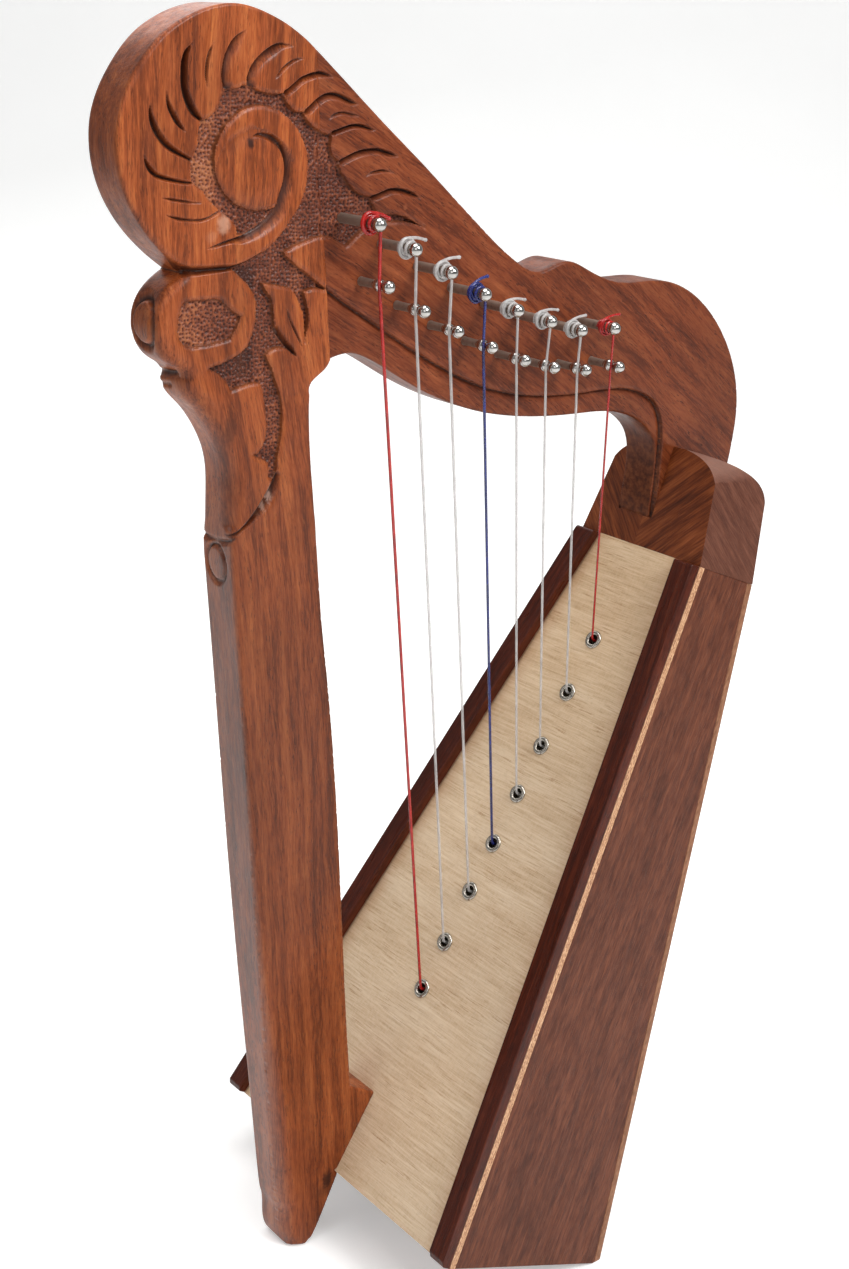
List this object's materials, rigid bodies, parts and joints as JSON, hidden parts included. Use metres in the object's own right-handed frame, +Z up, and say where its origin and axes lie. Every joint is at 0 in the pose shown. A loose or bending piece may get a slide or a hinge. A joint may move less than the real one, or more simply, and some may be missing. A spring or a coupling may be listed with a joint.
{
  "type": "table harp",
  "caption": "Small lever-less table harp: carved pillar and scroll, curved neck with bridge and tuning pins, tapered soundbox, nylon strings.",
  "frame": {"origin": "the middle of the flat on the soundbox's rear lower edge, on the ground plane and in the plane of the string holes", "axes": "+Z up as the harp stands on toe and rear edge, +X from the pillar towards the player's shoulder block, -Y the side that carries the pins"},
  "size_m": [0.277, 0.1514, 0.4442],
  "materials": {
    "frame_hardwood": "oiled, satin",
    "base_hardwood": "oiled, satin",
    "dark_rail_wood": "lacquered, semi-gloss",
    "side_veneer": "lacquered, satin",
    "back_veneer": "lacquered, satin",
    "pale_tonewood": "clear satin lacquer",
    "inner_softwood": "raw",
    "dowel_wood": "raw",
    "eyelet_nickel": "polished nickel",
    "bead_plastic": "satin",
    "pin_nickel": "polished nickel",
    "screw_steel": "zinc plated",
    "nylon_red": "smooth",
    "nylon_blue": "smooth",
    "nylon_clear": "smooth, translucent"
  },
  "bodies": {
    "harp_body": {"back_panel": "back_veneer", "base_block": "base_hardwood", "bridge_pins": "pin_nickel", "edge_rail_left": "dark_rail_wood", "edge_rail_right": "dark_rail_wood", "neck": "frame_hardwood", "neck_block_dowels": "dowel_wood", "pillar": "frame_hardwood", "pillar_foot_screw": "screw_steel", "pillar_neck_dowels": "dowel_wood", "shoulder_block": "frame_hardwood", "side_linings": "inner_softwood", "side_panel_left": "side_veneer", "side_panel_right": "side_veneer", "soundboard": "pale_tonewood", "string_1": "nylon_red", "string_2": "nylon_clear", "string_3": "nylon_clear", "string_4": "nylon_blue", "string_5": "nylon_clear", "string_6": "nylon_clear", "string_7": "nylon_clear", "string_8": "nylon_red", "string_anchor_beads": "bead_plastic", "string_eyelets": "eyelet_nickel", "string_rib": "inner_softwood"},
    "tuning_pin_1": {"tuning_pin_1": "pin_nickel", "string_coil_1": "nylon_red"},
    "tuning_pin_2": {"tuning_pin_2": "pin_nickel", "string_coil_2": "nylon_clear"},
    "tuning_pin_3": {"tuning_pin_3": "pin_nickel", "string_coil_3": "nylon_clear"},
    "tuning_pin_4": {"tuning_pin_4": "pin_nickel", "string_coil_4": "nylon_blue"},
    "tuning_pin_5": {"tuning_pin_5": "pin_nickel", "string_coil_5": "nylon_clear"},
    "tuning_pin_6": {"tuning_pin_6": "pin_nickel", "string_coil_6": "nylon_clear"},
    "tuning_pin_7": {"tuning_pin_7": "pin_nickel", "string_coil_7": "nylon_clear"},
    "tuning_pin_8": {"tuning_pin_8": "pin_nickel", "string_coil_8": "nylon_red"}
  },
  "joints": [
    {"name": "tuning_pin_1_turn", "type": "hinge", "parent": "harp_body", "child": "tuning_pin_1", "pos_m": [-0.0789, 0.0074, 0.3841], "axis": [0, -1, 0], "range_deg": [-540, 90]},
    {"name": "tuning_pin_2_turn", "type": "hinge", "parent": "harp_body", "child": "tuning_pin_2", "pos_m": [-0.0644, 0.0074, 0.3761], "axis": [0, -1, 0], "range_deg": [-540, 90]},
    {"name": "tuning_pin_3_turn", "type": "hinge", "parent": "harp_body", "child": "tuning_pin_3", "pos_m": [-0.0494, 0.0074, 0.3684], "axis": [0, -1, 0], "range_deg": [-540, 90]},
    {"name": "tuning_pin_4_turn", "type": "hinge", "parent": "harp_body", "child": "tuning_pin_4", "pos_m": [-0.0346, 0.0074, 0.3607], "axis": [0, -1, 0], "range_deg": [-540, 90]},
    {"name": "tuning_pin_5_turn", "type": "hinge", "parent": "harp_body", "child": "tuning_pin_5", "pos_m": [-0.0198, 0.0074, 0.3546], "axis": [0, -1, 0], "range_deg": [-540, 90]},
    {"name": "tuning_pin_6_turn", "type": "hinge", "parent": "harp_body", "child": "tuning_pin_6", "pos_m": [-0.0043, 0.0074, 0.3499], "axis": [0, -1, 0], "range_deg": [-540, 90]},
    {"name": "tuning_pin_7_turn", "type": "hinge", "parent": "harp_body", "child": "tuning_pin_7", "pos_m": [0.0105, 0.0074, 0.3459], "axis": [0, -1, 0], "range_deg": [-540, 90]},
    {"name": "tuning_pin_8_turn", "type": "hinge", "parent": "harp_body", "child": "tuning_pin_8", "pos_m": [0.0266, 0.0074, 0.3454], "axis": [0, -1, 0], "range_deg": [-540, 90]}
  ]
}
